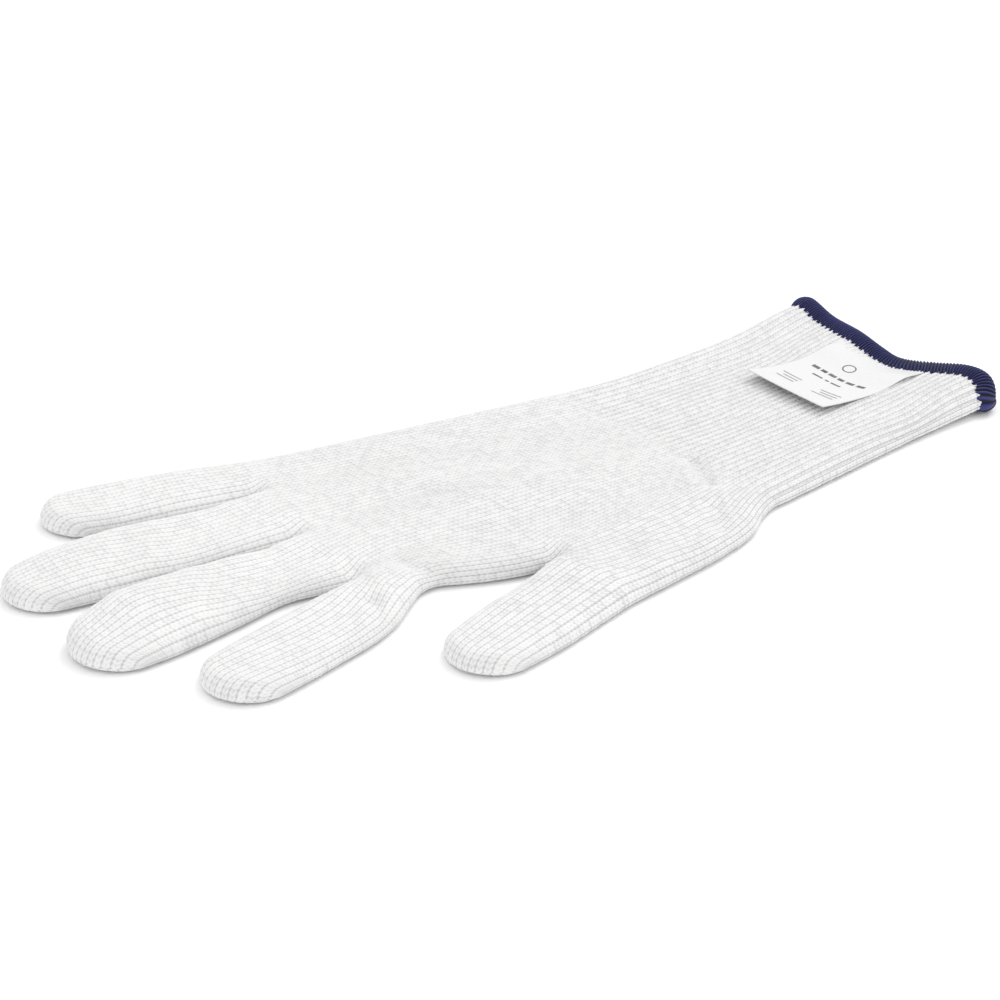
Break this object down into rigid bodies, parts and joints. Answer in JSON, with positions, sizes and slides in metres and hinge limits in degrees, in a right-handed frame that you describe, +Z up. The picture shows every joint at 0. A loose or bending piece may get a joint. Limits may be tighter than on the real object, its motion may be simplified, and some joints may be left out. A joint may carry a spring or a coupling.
{
  "type": "cut resistant glove",
  "caption": "Seamless knitted cut resistant glove lying flat, with a ribbed cuff, overlocked hem and sewn-in label; digits, thumb and wrist fold.",
  "frame": {"origin": "centre of the underside's bounding box, on the surface that the glove lies on", "axes": "+Z up out of the surface, +Y from the hem to the fingertips, thumb on the -X side"},
  "size_m": [0.126, 0.2544, 0.0111],
  "materials": {
    "knit_plain": "white plain knit of fine glossy filament yarn",
    "knit_rib": "white ribbed knit of the same yarn",
    "hem_yarn": "navy textured overlock yarn",
    "label_satin": "white printed satin ribbon",
    "elastic": "covered elastic yarn"
  },
  "bodies": {
    "palm": {"palm_knit": "knit_plain"},
    "cuff": {"cuff_rib": "knit_rib", "hem_overlock": "hem_yarn", "size_label": "label_satin", "cuff_elastic": "elastic"},
    "thumb_gusset": {"thumb_gusset": "knit_plain"},
    "index_proximal": {"index_proximal": "knit_plain"},
    "index_middle": {"index_middle": "knit_plain"},
    "index_tip": {"index_tip": "knit_plain"},
    "middle_proximal": {"middle_proximal": "knit_plain"},
    "middle_middle": {"middle_middle": "knit_plain"},
    "middle_tip": {"middle_tip": "knit_plain"},
    "ring_proximal": {"ring_proximal": "knit_plain"},
    "ring_middle": {"ring_middle": "knit_plain"},
    "ring_tip": {"ring_tip": "knit_plain"},
    "little_proximal": {"little_proximal": "knit_plain"},
    "little_middle": {"little_middle": "knit_plain"},
    "little_tip": {"little_tip": "knit_plain"},
    "thumb_proximal": {"thumb_proximal": "knit_plain"},
    "thumb_tip": {"thumb_tip": "knit_plain"}
  },
  "joints": [
    {"name": "wrist_fold", "type": "hinge", "parent": "palm", "child": "cuff", "pos_m": [-0.00539, -0.03922, 0.0071], "axis": [-1, 0, 0], "range_deg": [0, 80]},
    {"name": "thumb_gusset_fold", "type": "hinge", "parent": "palm", "child": "thumb_gusset", "pos_m": [-0.03914, -0.01022, 0.0071], "axis": [0.1616, 0.9868, 0], "range_deg": [0, 50]},
    {"name": "index_proximal_fold", "type": "hinge", "parent": "palm", "child": "index_proximal", "pos_m": [-0.02339, 0.06178, 0.0071], "axis": [1, 0, 0], "range_deg": [0, 85]},
    {"name": "index_middle_fold", "type": "hinge", "parent": "index_proximal", "child": "index_middle", "pos_m": [-0.02669, 0.08049, 0.0071], "axis": [1, 0, 0], "range_deg": [0, 90]},
    {"name": "index_tip_fold", "type": "hinge", "parent": "index_middle", "child": "index_tip", "pos_m": [-0.0293, 0.09526, 0.0071], "axis": [1, 0, 0], "range_deg": [0, 70]},
    {"name": "middle_proximal_fold", "type": "hinge", "parent": "palm", "child": "middle_proximal", "pos_m": [-0.00039, 0.06228, 0.0071], "axis": [1, 0, 0], "range_deg": [0, 85]},
    {"name": "middle_middle_fold", "type": "hinge", "parent": "middle_proximal", "child": "middle_middle", "pos_m": [-0.00147, 0.08695, 0.0071], "axis": [1, 0, 0], "range_deg": [0, 90]},
    {"name": "middle_tip_fold", "type": "hinge", "parent": "middle_middle", "child": "middle_tip", "pos_m": [-0.00229, 0.10578, 0.0071], "axis": [1, 0, 0], "range_deg": [0, 70]},
    {"name": "ring_proximal_fold", "type": "hinge", "parent": "palm", "child": "ring_proximal", "pos_m": [0.02451, 0.05878, 0.0071], "axis": [1, 0, 0], "range_deg": [0, 85]},
    {"name": "ring_middle_fold", "type": "hinge", "parent": "ring_proximal", "child": "ring_middle", "pos_m": [0.02537, 0.08365, 0.0071], "axis": [1, 0, 0], "range_deg": [0, 90]},
    {"name": "ring_tip_fold", "type": "hinge", "parent": "ring_middle", "child": "ring_tip", "pos_m": [0.02604, 0.10263, 0.0071], "axis": [1, 0, 0], "range_deg": [0, 70]},
    {"name": "little_proximal_fold", "type": "hinge", "parent": "palm", "child": "little_proximal", "pos_m": [0.04681, 0.05428, 0.0071], "axis": [1, 0, 0], "range_deg": [0, 85]},
    {"name": "little_middle_fold", "type": "hinge", "parent": "little_proximal", "child": "little_middle", "pos_m": [0.05042, 0.0706, 0.0071], "axis": [1, 0, 0], "range_deg": [0, 90]},
    {"name": "little_tip_fold", "type": "hinge", "parent": "little_middle", "child": "little_tip", "pos_m": [0.05319, 0.08306, 0.0071], "axis": [1, 0, 0], "range_deg": [0, 70]},
    {"name": "thumb_proximal_fold", "type": "hinge", "parent": "thumb_gusset", "child": "thumb_proximal", "pos_m": [-0.04839, 0.02228, 0.0071], "axis": [1, 0, 0], "range_deg": [0, 55]},
    {"name": "thumb_tip_fold", "type": "hinge", "parent": "thumb_proximal", "child": "thumb_tip", "pos_m": [-0.05235, 0.04265, 0.0071], "axis": [1, 0, 0], "range_deg": [0, 80]}
  ]
}
